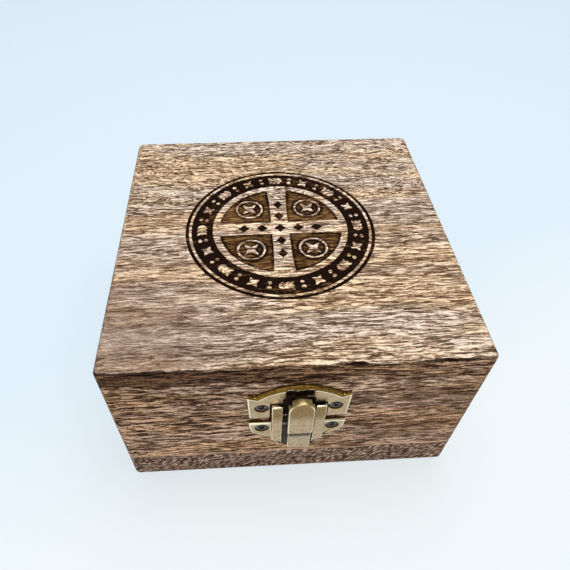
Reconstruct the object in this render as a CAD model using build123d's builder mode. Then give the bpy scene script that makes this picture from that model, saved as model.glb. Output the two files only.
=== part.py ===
from build123d import *

import os

# Small hinged wooden keepsake box with a sprung front latch.
# Frame: +Z up, origin at the centre of the underside, front face towards -Y.
# Lengths are in millimetres and angles in degrees.

os.makedirs("parts", exist_ok=True)

# Wooden box
box_width = 100.0
box_depth = 100.0
base_height = 34.4
lid_wall_height = 17.1
panel_thickness = 6.2
wall_thickness = 7.0
bottom_thickness = 4.0
rim_gap = 0.3
seam_behind_centre = 13.0
corner_radius = 2.0
top_round = 1.4
arris = 0.35

# Plates of the latch, measured from the front face and from the parting line
latch_offset = 0.6
plate_thickness = 1.3
plate_bevel = 0.3
plate_screw_radius = 0.8
plate_screw_length = 6.0
plate_hole_radius = 2.1
head_recess = 0.25
screw_fit = 0.05
tip_room = 0.4

# Strike plate on the lid
strike_setback = 0.65
strike_half_width = 13.4
ear_half_width = 13.8
ear_rise = 11.0
notch_inset = 2.1
notch_drop = 1.0
arch_rise = 14.8
arch_bevel_width = 1.0
arch_bevel_depth = 0.6
strike_screw_spacing = 19.8
strike_screw_rise = 5.1
cutout_headroom = 0.3
window_clearance = 0.85
window_shoulder = 2.4
window_neck_inset = 0.7
window_head = 1.1
window_corner = 0.9
keeper_half_width = 1.5
keeper_height = 1.2
keeper_depth = 2.1
keeper_web = 0.6
keeper_root = 0.8
keeper_below_hook = 0.9

# Catch plate on the base
wing_setback = 2.6
wing_half_width = 13.6
wing_end_inset = 0.5
wing_end_height = 4.3
wing_corner_inset = 1.2
wing_corner_drop = 1.4
shield_shoulder_inset = 0.2
shield_shoulder_drop = 11.3
shield_bow = 0.2
shield_tip_half_width = 3.3
shield_drop = 17.6
catch_screw_spacing = 19.8
catch_screw_drop = 2.75
housing_half_width = 7.3
housing_depth = 2.5
housing_sheet = 0.65
housing_rise = 7.8
housing_hollow_foot = 0.7
housing_straight_drop = 7.0
housing_knee_drop = 9.8
housing_knee_radius = 3.5
housing_tip_depth = 1.2
housing_round = 0.45
channel_half_width = 4.4
channel_floor = 0.7
lid_running_gap = 0.3

# Lever, its pin and its spring
lever_side_play = 0.4
lever_half_width = 3.45
lever_depth = 4.5
lever_sheet = 0.8
lever_rise = 12.6
lever_arch_height = 4.3
lever_shoulder_radius = 6.0
lever_flange_depth = 2.35
lever_step_drop = 3.2
lever_round = 0.5
hook_play = 0.3
tab_half_width = 3.2
tab_depth = 3.7
tab_drop = 13.5
tab_corner = 0.9
pin_radius = 0.45
pin_fit = 0.05
pin_drop = 1.5
pin_depth = 1.8
pin_end_inset = 0.2
ear_radius = 0.95
spring_wire_radius = 0.15
spring_wire_sides = 5
spring_gap = 0.06
spring_turns = 2.5
spring_pitch = 0.36
spring_leg = 5.2

# Butt hinges on the back
hinge_end_inset = 22.0
hinge_length = 16.0
leaf_height = 8.5
leaf_thickness = 0.7
leaf_corner = 1.0
barrel_radius = 1.5
barrel_standoff = 0.15
hinge_pin_radius = 0.75
hinge_pin_fit = 0.05
knuckle_gap = 0.15
knuckle_clearance = 0.3
hinge_screw_spacing = 9.0
hinge_screw_reach = 5.4
hinge_screw_head_radius = 1.2
hinge_screw_head = 0.25

# Heights of the wooden box
lid_bottom = base_height + rim_gap
panel_bottom = lid_bottom + lid_wall_height
parting_height = base_height + rim_gap / 2
inner_width = box_width - 2 * wall_thickness
inner_depth = box_depth - 2 * wall_thickness

# Faces that the metalwork is set out on: local Y is the height above the parting line
latch_face = Plane(
    origin=(latch_offset, -box_depth / 2, parting_height), x_dir=(1, 0, 0), z_dir=(0, -1, 0)
)
lever_face = Plane(
    origin=(latch_offset + lever_side_play, -box_depth / 2, parting_height),
    x_dir=(1, 0, 0),
    z_dir=(0, -1, 0),
)
hinge_face = Plane(
    origin=(0, box_depth / 2, parting_height), x_dir=(-1, 0, 0), z_dir=(0, 1, 0)
)

# Sections across the latch and the hinges: local X is the depth out of the face
latch_side = Plane(
    origin=(latch_offset, -box_depth / 2, parting_height), x_dir=(0, -1, 0), z_dir=(-1, 0, 0)
)
lever_side = Plane(
    origin=(latch_offset + lever_side_play, -box_depth / 2, parting_height),
    x_dir=(0, -1, 0),
    z_dir=(-1, 0, 0),
)
hinge_side = Plane(
    origin=(0, box_depth / 2, parting_height), x_dir=(0, 1, 0), z_dir=(1, 0, 0)
)

# Places on the strike plate, above the parting line
strike_top = strike_setback + arch_rise
ear_top = strike_setback + ear_rise
cutout_half_width = housing_half_width + lid_running_gap
cutout_top = housing_rise + cutout_headroom
window_half_width = lever_half_width + window_clearance
neck_half_width = window_half_width - window_neck_inset
neck_bottom = cutout_top + window_shoulder
window_top = strike_top - window_head
strike_screw_height = strike_setback + strike_screw_rise

# Places on the catch plate, below the parting line
wing_top = -wing_setback
wing_bottom = wing_top - wing_end_height
shield_tip = -shield_drop
catch_screw_height = wing_top - catch_screw_drop

# Places on the lever and its keeper
crown_radius = (
    (lever_half_width**2 - 2 * lever_half_width * lever_shoulder_radius + lever_arch_height**2)
    / (2 * (lever_arch_height - lever_shoulder_radius))
)
hook_underside = lever_rise - lever_sheet
keeper_top = hook_underside - keeper_below_hook
keeper_bottom = keeper_top - keeper_height
mouth_top = keeper_top + hook_play
mouth_bottom = keeper_bottom - hook_play
lever_step = -lever_step_drop
tab_tip = -tab_drop
tab_back = tab_depth - lever_sheet
plate_inside = lever_depth - lever_sheet
pin_height = -pin_drop
spring_radius = pin_radius + spring_gap + spring_wire_radius

# Hinge axis, measured out from the back face
hinge_spacing = box_width - 2 * hinge_end_inset
hinge_axis_depth = barrel_radius + barrel_standoff
knuckle_length = (hinge_length - 2 * knuckle_gap) / 3
knuckle_step = knuckle_length + knuckle_gap

strike_sites = [(side * strike_screw_spacing / 2, strike_screw_height) for side in (-1, 1)]
catch_sites = [(side * catch_screw_spacing / 2, catch_screw_height) for side in (-1, 1)]
shank_in_wall = plate_screw_length + head_recess - plate_thickness
screw_head_radius = plate_hole_radius - head_recess - screw_fit
hinge_centres = {"left": hinge_spacing / 2, "right": -hinge_spacing / 2}


def save(piece, label):
    piece.part.label = label
    export_step(piece.part, f"parts/{label}.step")


def wide_wall(label, side, bottom, height, screw_sites=()):
    """Full-width board at the front (-1) or back (1), bored for the screws of the latch."""
    with BuildPart() as wall:
        with BuildSketch(Plane.XY.offset(bottom)) as plan:
            with Locations((0, side * (box_depth - wall_thickness) / 2)):
                Rectangle(box_width, wall_thickness)
            fillet(plan.vertices().sort_by(Axis.Y)[::-side][:2], corner_radius)
        extrude(amount=height)
        outer = wall.faces().filter_by(Axis.Y).sort_by(Axis.Y)[::-side][0]
        chamfer(outer.edges().filter_by(Axis.X), arris)
        if screw_sites:
            with BuildSketch(latch_face) as bores:
                with Locations(*screw_sites):
                    Circle(plate_screw_radius + screw_fit)
            extrude(bores.sketch, amount=-shank_in_wall - tip_room, mode=Mode.SUBTRACT)
    save(wall, label)


def side_wall(label, side, bottom, height):
    """Board at the left (-1) or right (1), butted between the full-width boards."""
    with BuildPart() as wall:
        with BuildSketch(Plane.XY.offset(bottom)):
            with Locations((side * (box_width - wall_thickness) / 2, 0)):
                Rectangle(wall_thickness, inner_depth)
        extrude(amount=height)
        outer = wall.faces().filter_by(Axis.X).sort_by(Axis.X)[::-side][0]
        chamfer(outer.edges().filter_by(Axis.Y), arris)
    save(wall, label)


def panel_board(label, keep):
    """One of the two boards that are glued edge to edge into the lid's panel."""
    with BuildPart() as board:
        with BuildSketch(Plane.XY.offset(panel_bottom)):
            RectangleRounded(box_width, box_depth, corner_radius)
        extrude(amount=panel_thickness)
        fillet(board.edges().group_by(Axis.Z)[-1], top_round)
        chamfer(board.edges().group_by(Axis.Z)[0], arris)
        split(bisect_by=Plane.XZ.offset(-seam_behind_centre), keep=keep)
    save(board, label)


# Lid
panel_board("lid_panel_front_board", Keep.TOP)
panel_board("lid_panel_rear_board", Keep.BOTTOM)
wide_wall("lid_front_wall", -1, lid_bottom, lid_wall_height, strike_sites)
wide_wall("lid_back_wall", 1, lid_bottom, lid_wall_height)
side_wall("lid_left_wall", -1, lid_bottom, lid_wall_height)
side_wall("lid_right_wall", 1, lid_bottom, lid_wall_height)

# Base
wide_wall("base_front_wall", -1, 0, base_height, catch_sites)
wide_wall("base_back_wall", 1, 0, base_height)
side_wall("base_left_wall", -1, 0, base_height)
side_wall("base_right_wall", 1, 0, base_height)

with BuildPart() as base_bottom_panel:
    with BuildSketch(Plane.XY):
        Rectangle(inner_width, inner_depth)
    extrude(amount=bottom_thickness)
save(base_bottom_panel, "base_bottom_panel")


def countersink(face, sites, radius, shank, sheet):
    """Countersunk screw holes at 90 degrees through a plate whose outer face is given."""
    with Locations(face):
        with Locations(*sites):
            CounterSinkHole(shank + screw_fit, radius, sheet, 90)


def opening_up_to(half_width, top):
    """Part of the strike plate's opening, from below the plate's lower edge up to a height."""
    with Locations((0, top)):
        Rectangle(2 * half_width, top, align=(Align.CENTER, Align.MAX))


# Strike plate: arched top between two pointed ears, open at the bottom round the housing
with BuildPart() as strike_plate:
    with BuildSketch(latch_face):
        with BuildLine():
            edge = Polyline(
                (0, strike_setback),
                (strike_half_width, strike_setback),
                (ear_half_width, ear_top),
                (ear_half_width - notch_inset, ear_top - notch_drop),
            )
            mirror(about=Plane.YZ)
            ThreePointArc(edge @ 1, (0, strike_top), (notch_inset - ear_half_width, ear_top - notch_drop))
        make_face()
    extrude(amount=plate_thickness)
    front = strike_plate.faces().sort_by(Axis.Y)[0]
    arch = front.edges().filter_by(GeomType.CIRCLE)
    chamfer(front.edges() - arch, plate_bevel)
    front = strike_plate.faces().sort_by(Axis.Y)[0]
    arch = front.edges().filter_by(GeomType.CIRCLE)
    chamfer(arch, arch_bevel_width, arch_bevel_depth, reference=front)
    with BuildSketch(latch_face) as window:
        opening_up_to(neck_half_width, window_top)
        fillet(window.vertices().group_by(Axis.Y)[-1], window_corner)
        opening_up_to(window_half_width, neck_bottom)
        opening_up_to(cutout_half_width, cutout_top)
    extrude(amount=plate_thickness, mode=Mode.SUBTRACT)
    with BuildSketch(lever_face):
        with Locations((0, keeper_bottom)):
            Rectangle(2 * keeper_half_width, keeper_height, align=(Align.CENTER, Align.MIN))
    extrude(amount=keeper_depth)
    with BuildSketch(latch_face):
        with Locations((0, keeper_bottom)):
            Rectangle(
                2 * (window_half_width + keeper_root), keeper_height, align=(Align.CENTER, Align.MIN)
            )
    extrude(amount=keeper_web)
    countersink(
        latch_face.offset(plate_thickness), strike_sites,
        plate_hole_radius, plate_screw_radius, plate_thickness,
    )
save(strike_plate, "strike_plate")

# Catch plate: two wings and a shield-shaped housing whose channel holds the lever
with BuildPart() as catch_plate:
    with BuildSketch(latch_face):
        with BuildLine():
            edge = Polyline(
                (0, wing_top),
                (wing_half_width, wing_top),
                (wing_half_width - wing_end_inset, wing_bottom),
                (wing_half_width - wing_corner_inset, wing_bottom - wing_corner_drop),
                (housing_half_width - shield_shoulder_inset, -shield_shoulder_drop),
            )
            SagittaArc(edge @ 1, (shield_tip_half_width, shield_tip), shield_bow)
            Line((shield_tip_half_width, shield_tip), (0, shield_tip))
            mirror(about=Plane.YZ)
        make_face()
    extrude(amount=plate_thickness)
    chamfer(catch_plate.faces().sort_by(Axis.Y)[0].edges(), plate_bevel)
    with BuildSketch(latch_face) as housing:
        with BuildLine():
            Polyline(
                (0, housing_rise),
                (housing_half_width, housing_rise),
                (housing_half_width, -housing_knee_drop),
                (shield_tip_half_width, shield_tip),
                (0, shield_tip),
            )
            mirror(about=Plane.YZ)
        make_face()
        fillet(housing.vertices().group_by(Axis.Y)[1], housing_knee_radius)
    extrude(amount=housing_depth)
    fillet(catch_plate.faces().sort_by(Axis.Y)[0].edges(), housing_round)
    with BuildSketch(latch_side):
        with BuildLine():
            slope = TangentArc(
                (housing_depth, -housing_straight_drop),
                (housing_tip_depth, shield_tip),
                tangent=(0, -1),
            )
            Polyline(
                slope @ 1,
                (2 * housing_depth, shield_tip),
                (2 * housing_depth, -housing_straight_drop),
                slope @ 0,
            )
        make_face()
    extrude(amount=housing_half_width, both=True, mode=Mode.SUBTRACT)
    with BuildSketch(latch_face.offset(channel_floor)):
        with Locations((0, housing_rise)):
            Rectangle(
                2 * channel_half_width, housing_rise - shield_tip, align=(Align.CENTER, Align.MAX)
            )
    extrude(amount=housing_depth, mode=Mode.SUBTRACT)
    with BuildSketch(latch_face):
        with Locations((0, housing_rise)):
            Rectangle(
                2 * (housing_half_width - housing_sheet),
                housing_rise - housing_hollow_foot,
                align=(Align.CENTER, Align.MAX),
            )
    extrude(amount=housing_depth - housing_sheet, mode=Mode.SUBTRACT)
    with BuildSketch(latch_face):
        with Locations((0, housing_rise)):
            Rectangle(
                2 * housing_half_width,
                housing_rise + rim_gap / 2 + arris,
                align=(Align.CENTER, Align.MAX),
            )
    extrude(amount=lid_running_gap, mode=Mode.SUBTRACT)
    with BuildSketch(latch_side):
        with Locations((pin_depth, pin_height)):
            Circle(pin_radius + pin_fit)
    extrude(amount=housing_half_width, both=True, mode=Mode.SUBTRACT)
    countersink(
        latch_face.offset(plate_thickness), catch_sites,
        plate_hole_radius, plate_screw_radius, plate_thickness,
    )
save(catch_plate, "catch_plate")


def arched_outline(inset, bottom):
    """Outline of the lever's front, or of the pan inside it: square foot and three-centred head."""
    half_width = lever_half_width - inset
    top = lever_rise - inset
    shoulder = Vector(lever_half_width - lever_shoulder_radius, lever_rise - lever_arch_height)
    crown = Vector(0, lever_rise - crown_radius)
    meeting = crown + (crown - shoulder).normalized() * (crown_radius - inset)
    with BuildSketch() as outline:
        with BuildLine():
            Polyline((0, bottom), (half_width, bottom), (half_width, shoulder.Y))
            flank = TangentArc((half_width, shoulder.Y), meeting, tangent=(0, 1))
            TangentArc(meeting, (0, top), tangent=flank % 1)
            mirror(about=Plane.YZ)
        make_face()
    return outline.sketch


# Lever: a pressed pan whose turned-back rim is the hook, with pin ears and a thumb tab
with BuildPart() as latch_lever:
    with BuildSketch(lever_face.offset(lever_flange_depth)):
        add(arched_outline(0, lever_step))
    extrude(amount=lever_depth - lever_flange_depth)
    fillet(latch_lever.faces().sort_by(Axis.Y)[0].edges(), lever_round)
    with BuildSketch(lever_face.offset(lever_flange_depth)):
        add(arched_outline(lever_sheet, lever_step))
    extrude(amount=tab_back - lever_flange_depth, mode=Mode.SUBTRACT)
    with BuildSketch(lever_face.offset(tab_back)):
        add(arched_outline(lever_sheet, lever_step + lever_sheet))
    extrude(amount=plate_inside - tab_back, mode=Mode.SUBTRACT)
    with BuildSketch(lever_face.offset(tab_back)) as tab:
        with Locations((0, lever_step + lever_sheet)):
            Rectangle(
                2 * tab_half_width, lever_step + lever_sheet - tab_tip, align=(Align.CENTER, Align.MAX)
            )
        fillet(tab.vertices().group_by(Axis.Y)[0], tab_corner)
    extrude(amount=lever_sheet)
    with BuildSketch(lever_side) as ear:
        with Locations((pin_depth, pin_height)):
            Circle(ear_radius)
            Rectangle(plate_inside - pin_depth, 2 * ear_radius, align=(Align.MIN, Align.CENTER))
    extrude(amount=lever_half_width, both=True)
    with BuildSketch(lever_side) as between_ears:
        with Locations((0, pin_height)):
            Rectangle(plate_inside, 2 * ear_radius, align=(Align.MIN, Align.CENTER))
    extrude(amount=lever_half_width - lever_sheet, both=True, mode=Mode.SUBTRACT)
    with BuildSketch(lever_side):
        with Locations((0, mouth_bottom)):
            Rectangle(plate_inside, mouth_top - mouth_bottom, align=(Align.MIN, Align.MIN))
        with Locations((pin_depth, pin_height)):
            Circle(pin_radius + pin_fit)
    extrude(amount=lever_half_width, both=True, mode=Mode.SUBTRACT)
save(latch_lever, "latch_lever")

with BuildPart() as latch_lever_pin:
    with BuildSketch(latch_side):
        with Locations((pin_depth, pin_height)):
            Circle(pin_radius)
    extrude(amount=housing_half_width - pin_end_inset, both=True)
save(latch_lever_pin, "latch_lever_pin")

# Torsion spring: coils round the pin, one leg on the channel's floor and one behind the tab
spring_length = spring_turns * spring_pitch
coil_start = Plane(
    origin=(
        latch_offset - spring_length / 2,
        -box_depth / 2 - pin_depth,
        parting_height + pin_height,
    ),
    x_dir=(0, 1, 0),
    z_dir=(1, 0, 0),
)
coil = coil_start * Helix(spring_pitch, spring_length, spring_radius)
with BuildPart() as latch_spring:
    with BuildSketch(Plane(origin=coil @ 0, x_dir=(1, 0, 0), z_dir=coil % 0)):
        RegularPolygon(spring_wire_radius, spring_wire_sides)
    sweep(path=coil, is_frenet=True)
    for end in (coil @ 0, coil @ 1):
        start = end + Vector(0, 0, spring_wire_radius)
        with BuildSketch(Plane(origin=start, x_dir=(1, 0, 0), z_dir=(0, 0, -1))):
            RegularPolygon(spring_wire_radius, spring_wire_sides, rotation=180 / spring_wire_sides)
        extrude(amount=spring_leg)
save(latch_spring, "latch_spring")


def screw_group(label, sites):
    """Countersunk wood screws, sunk a little below the front of a latch plate."""
    seated = (Align.CENTER, Align.CENTER, Align.MAX)
    head_height = screw_head_radius - plate_screw_radius
    with BuildPart() as group:
        with Locations(latch_face.offset(plate_thickness - head_recess)):
            with Locations(*sites):
                Cone(plate_screw_radius, screw_head_radius, head_height, align=seated)
                Cylinder(plate_screw_radius, plate_screw_length, align=seated)
    save(group, label)


screw_group("strike_plate_screws", strike_sites)
screw_group("catch_plate_screws", catch_sites)


def hinge_leaf(label, centre, up, knuckles):
    """Leaf above (1) or below (-1) the parting line, with knuckles at the given steps."""
    with BuildPart() as leaf:
        with BuildSketch(hinge_face) as plate:
            with Locations((centre, up * (barrel_radius + knuckle_clearance))):
                Rectangle(
                    hinge_length,
                    leaf_height - barrel_radius - knuckle_clearance,
                    align=(Align.CENTER, Align.MIN if up > 0 else Align.MAX),
                )
            fillet(plate.vertices().group_by(Axis.Y)[-1 if up > 0 else 0], leaf_corner)
        extrude(amount=leaf_thickness)
        for step in knuckles:
            with BuildSketch(hinge_side.offset(-centre - knuckle_length / 2 + step * knuckle_step)):
                with Locations((hinge_axis_depth, 0)):
                    Circle(barrel_radius)
                with Locations((barrel_standoff, 0)):
                    Rectangle(
                        leaf_thickness - barrel_standoff,
                        barrel_radius + 2 * knuckle_clearance,
                        align=(Align.MIN, Align.MIN if up > 0 else Align.MAX),
                    )
            extrude(amount=knuckle_length)
        with BuildSketch(hinge_side.offset(-centre)):
            with Locations((hinge_axis_depth, 0)):
                Circle(hinge_pin_radius + hinge_pin_fit)
        extrude(amount=hinge_length, both=True, mode=Mode.SUBTRACT)
        with BuildSketch(hinge_face.offset(leaf_thickness)):
            with Locations((centre, up * hinge_screw_reach)):
                with GridLocations(hinge_screw_spacing, 0, 2, 1):
                    Circle(hinge_screw_head_radius)
        extrude(amount=hinge_screw_head)
    save(leaf, label)


def hinge_pin(label, centre):
    """Hinge pin, flush with both ends of the barrel."""
    with BuildPart() as pin:
        with BuildSketch(hinge_side.offset(-centre)):
            with Locations((hinge_axis_depth, 0)):
                Circle(hinge_pin_radius)
        extrude(amount=hinge_length / 2, both=True)
    save(pin, label)


for side, centre in hinge_centres.items():
    hinge_leaf(f"{side}_hinge_lid_leaf", centre, 1, (0,))
    hinge_leaf(f"{side}_hinge_base_leaf", centre, -1, (-1, 1))
    hinge_pin(f"{side}_hinge_pin", centre)
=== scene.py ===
import math

import bmesh
import bpy
import numpy as np
from bpy.props import FloatProperty, FloatVectorProperty, IntProperty, PointerProperty
from bpy.types import Operator, Panel, PropertyGroup
from mathutils import Matrix, Vector


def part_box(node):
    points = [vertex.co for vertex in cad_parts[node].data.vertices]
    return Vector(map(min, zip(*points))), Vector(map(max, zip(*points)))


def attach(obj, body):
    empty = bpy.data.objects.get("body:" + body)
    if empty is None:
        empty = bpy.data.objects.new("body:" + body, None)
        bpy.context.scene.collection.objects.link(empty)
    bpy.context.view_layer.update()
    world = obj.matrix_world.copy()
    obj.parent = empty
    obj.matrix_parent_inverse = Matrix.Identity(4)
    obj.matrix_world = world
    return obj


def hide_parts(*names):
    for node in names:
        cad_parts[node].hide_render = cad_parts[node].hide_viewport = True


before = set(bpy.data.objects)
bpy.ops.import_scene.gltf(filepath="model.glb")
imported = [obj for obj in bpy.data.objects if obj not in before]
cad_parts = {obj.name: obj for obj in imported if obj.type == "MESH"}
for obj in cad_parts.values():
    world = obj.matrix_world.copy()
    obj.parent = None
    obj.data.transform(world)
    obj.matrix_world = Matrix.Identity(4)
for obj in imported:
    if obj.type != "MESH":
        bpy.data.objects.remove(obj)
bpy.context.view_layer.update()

bl_info = {
    "name": "Hinged Prayer Box",
    "version": (1, 0, 0),
    "blender": (4, 5, 0),
    "location": "View3D > Sidebar > Prayer Box",
    "description": "Dresses a hinged wooden box with an engraved lid and an antique brass latch",
    "category": "Object",
}

MM = 0.001

# Places read from the model, in metres
LID_LOW, LID_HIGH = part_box("lid_panel_front_board")
REAR_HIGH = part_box("lid_panel_rear_board")[1]
BASE_FRONT_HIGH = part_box("base_front_wall")[1]
BASE_LEFT_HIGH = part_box("base_left_wall")[1]
PARTING = (BASE_FRONT_HIGH.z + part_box("lid_front_wall")[0].z) / 2.0
CATCH_LOW, HOUSING_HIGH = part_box("catch_plate")
LEVER_LOW, LEVER_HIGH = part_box("latch_lever")
STRIKE_LOW, STRIKE_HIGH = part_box("strike_plate")
LATCH_X = (STRIKE_LOW.x + STRIKE_HIGH.x) / 2.0
# Heights of the latch's window, of the gap over its housing and of the step over its thumb tab
WINDOW_TOP = STRIKE_HIGH.z - 0.9 * MM
HOLLOW_TOP = HOUSING_HIGH.z + 0.6 * MM
TAB_TOP = LEVER_HIGH.z - 15.8 * MM

# Rounding of the panel's top edge, of its corners and of its lower arris, as the model has them
TOP_ROUND = 1.4 * MM
CORNER_RADIUS = 2.0 * MM
ARRIS = 0.35 * MM


# Settings


def colour(name, description, default):
    """A colour that a user can change."""
    return FloatVectorProperty(
        name=name, description=description, default=(*default, 1.0),
        size=4, min=0.0, max=1.0, subtype="COLOR",
    )


def length(name, description, default):
    """A length in metres that a user can change."""
    return FloatProperty(
        name=name, description=description, default=default, unit="LENGTH", precision=5,
    )


class WoodSettings(PropertyGroup):
    """Colours and grain of the wooden boards."""

    lid_pale: colour("Lid pale", "Pale streaks of the lid's boards", (1.0, 0.82, 0.63))
    lid_middle: colour("Lid middle", "Body colour of the lid's boards", (0.46, 0.31, 0.21))
    lid_dark: colour("Lid dark", "Dark streaks of the lid's boards", (0.105, 0.060, 0.034))
    wall_pale: colour("Wall pale", "Pale streaks of the walls", (1.0, 0.66, 0.43))
    wall_middle: colour("Wall middle", "Body colour of the walls", (0.27, 0.145, 0.073))
    wall_dark: colour("Wall dark", "Dark streaks of the walls", (0.036, 0.013, 0.005))
    raw_pale: colour("Inside pale", "Pale streaks inside the box", (0.74, 0.55, 0.38))
    raw_middle: colour("Inside middle", "Body colour inside the box", (0.46, 0.31, 0.20))
    raw_dark: colour("Inside dark", "Dark streaks inside the box", (0.24, 0.145, 0.085))
    scorch_gold: colour("Scorch gold", "Lightly scorched streaks", (0.34, 0.185, 0.07))
    scorch_brown: colour("Scorch brown", "Lightly scorched wood between the streaks", (0.065, 0.022, 0.006))
    # Scorch black is also painted as shade on the wood seen through the latch's window and over its housing
    scorch_and_shadow_black: colour("Scorch black", "Deeply scorched wood", (0.011, 0.004, 0.002))
    lid_streak: length("Lid streak", "Thickness of one streak of the lid's boards", 0.00040)
    wall_streak: length("Wall streak", "Thickness of one streak of the walls", 0.00046)
    wave: length("Wave", "How far the grain sways", 0.0012)
    ripple: length("Ripple", "How far the rear board's grain ripples", 0.0009)


class CarvingSettings(PropertyGroup):
    """Sizes of the engraved roundel in the lid."""

    centre: FloatVectorProperty(
        name="Centre", description="Centre of the roundel on the lid",
        default=(-0.001, 0.0005), size=2, unit="LENGTH", precision=5,
    )
    line_radius: length("Outer line", "Radius of the thin outer line", 0.0286)
    band_outer: length("Band outer", "Outer radius of the scorched band", 0.0274)
    band_inner: length("Band inner", "Inner radius of the scorched band", 0.0208)
    field_radius: length("Field", "Radius of the field inside the inner ring", 0.0189)
    arm_width: length("Arm", "Width of the cross's arms", 0.0050)
    roundel_radius: length("Small rings", "Radius of the four small rings", 0.0040)
    band_depth: length("Band depth", "Depth of the scorched band", 0.0003)
    field_depth: length("Field depth", "Depth of the field", 0.00018)
    edge_depth: length("Edge depth", "Further depth along the outlines", 0.00016)
    wall_width: length("Cut slope", "Width of the sloping side of a cut", 0.00025)
    motif_count: IntProperty(
        name="Motifs", description="Sprigs, dots and flowers round the band", default=32, min=4, max=60,
    )


class MetalSettings(PropertyGroup):
    """Colours of the brass and steel fittings."""

    brass_flat: colour("Brass flat", "Rubbed brass on flat faces", (0.56, 0.405, 0.235))
    # Brass gold is golden patina by height, and also the painted shade on faces that look up
    brass_gold_and_top_shade: colour("Brass gold", "Golden brown brass", (0.27, 0.155, 0.03))
    # Brass patina also paints the shade in holes, gaps and hollows
    brass_patina_and_shade: colour("Brass patina", "Darkened brass in corners", (0.05, 0.03, 0.01))
    brass_edge: colour("Brass edge", "Bright brass on worn edges", (1.0, 0.92, 0.68))
    brass_shaded: colour("Brass shaded", "Brass on slopes that look down", (0.17, 0.125, 0.06))
    brass_ridge: colour("Brass ridge", "Bright brass on top of the lever", (0.62, 0.50, 0.24))
    screw_dark: colour("Screw", "Darkened steel of the screws", (0.17, 0.145, 0.115))
    spring_steel: colour("Spring", "Bright steel of the spring and its pin", (0.20, 0.19, 0.18))
    edge_round: length("Edge", "Rounding of the pressed metal's edges", 0.00020)


class StageSettings(PropertyGroup):
    """Camera, lamps and floor."""

    camera_place: FloatVectorProperty(
        name="Camera", description="Place of the camera", default=(-0.0125, -0.1166, 0.1624),
        size=3, subtype="TRANSLATION", unit="LENGTH", precision=4,
    )
    camera_turn: FloatVectorProperty(
        name="Turn", description="Yaw to the right, pitch down and roll of the camera",
        default=(math.radians(3.47), math.radians(46.81), math.radians(0.44)),
        size=3, subtype="EULER", unit="ROTATION",
    )
    camera_lens: FloatProperty(
        name="Lens", description="Focal length in millimetres", default=31.95, unit="CAMERA",
    )
    camera_shift: FloatVectorProperty(
        name="Shift", description="Shift of the picture in the frame", default=(0.0339, -0.0202),
        size=2,
    )
    far_ground: colour("Far ground", "Ground behind the box", (0.765, 0.905, 1.0))
    near_ground: colour("Near ground", "Ground in front of the box", (0.93, 1.0, 1.0))
    low_sky: colour("Low sky", "Surroundings near the horizon", (0.24, 0.21, 0.17))
    high_sky: colour("High sky", "Surroundings overhead", (0.50, 0.50, 0.49))
    key_power: FloatProperty(
        name="Key", description="Power of the overhead lamp", default=3.6, unit="POWER",
    )
    fill_power: FloatProperty(
        name="Fill", description="Power of the front lamp", default=1.15, unit="POWER",
    )


# Node helpers


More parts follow.
